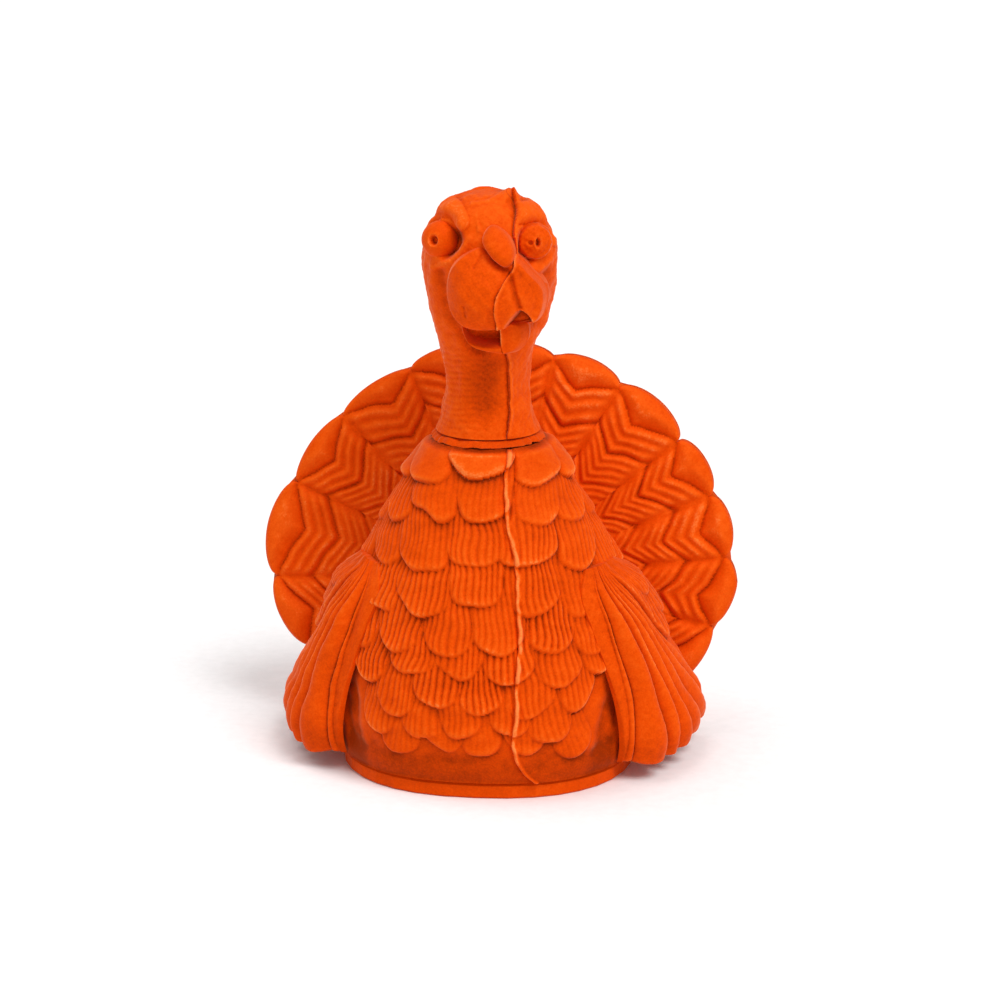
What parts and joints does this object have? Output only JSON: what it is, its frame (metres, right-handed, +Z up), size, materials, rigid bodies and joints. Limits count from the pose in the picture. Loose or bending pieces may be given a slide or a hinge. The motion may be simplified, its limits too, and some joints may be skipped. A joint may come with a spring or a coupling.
{
  "type": "turkey decoy",
  "caption": "Small moulded tom turkey in strut with a scalloped tail fan, dropped wings, a flat base and a head that turns on a neck joint.",
  "frame": {"origin": "on the ground under the body, in the bird's middle plane, on the base plate's flat underside", "axes": "+Z up; the bird faces -Y; its left side is +X"},
  "size_m": [0.0978, 0.0624, 0.1153],
  "materials": {
    "orange_rubber": "matte moulded rubber in one vivid orange, with mould flash and pinholes",
    "nylon": "natural nylon, inside the body",
    "steel": "plain zinc-plated screws and washer",
    "ballast": "rough cast ballast slug"
  },
  "bodies": {
    "body": {"base_plate": "orange_rubber", "body_shell_right": "orange_rubber", "body_shell_left": "orange_rubber", "wing_right": "orange_rubber", "wing_left": "orange_rubber", "rump_cover": "orange_rubber", "fan_front": "orange_rubber", "fan_back": "orange_rubber", "collar_ring": "orange_rubber", "fan_core": "nylon", "fan_pin_right": "nylon", "fan_pin_left": "nylon", "wing_peg_right_lower": "nylon", "wing_peg_right_upper": "nylon", "wing_peg_left_lower": "nylon", "wing_peg_left_upper": "nylon", "body_dowel_lower_front": "nylon", "body_dowel_upper_front": "nylon", "body_dowel_rear": "nylon", "ballast_screw": "steel", "base_screw_front_right": "steel", "base_screw_front_left": "steel", "base_screw_rear_right": "steel", "base_screw_rear_left": "steel", "rump_screw": "steel", "ballast_weight": "ballast"},
    "head": {"neck_post": "nylon", "neck_washer": "steel", "neck_screw": "steel", "head_shell_right": "orange_rubber", "head_shell_left": "orange_rubber", "upper_beak": "orange_rubber", "lower_beak": "orange_rubber", "snood": "orange_rubber", "eye_right": "orange_rubber", "eye_left": "orange_rubber", "head_dowel_neck": "nylon", "head_dowel_skull": "nylon"}
  },
  "joints": [
    {"name": "head_turn", "type": "hinge", "parent": "body", "child": "head", "pos_m": [0, -0.005, 0.0677], "axis": [0, 0, 1], "range_deg": [-35, 35]}
  ]
}
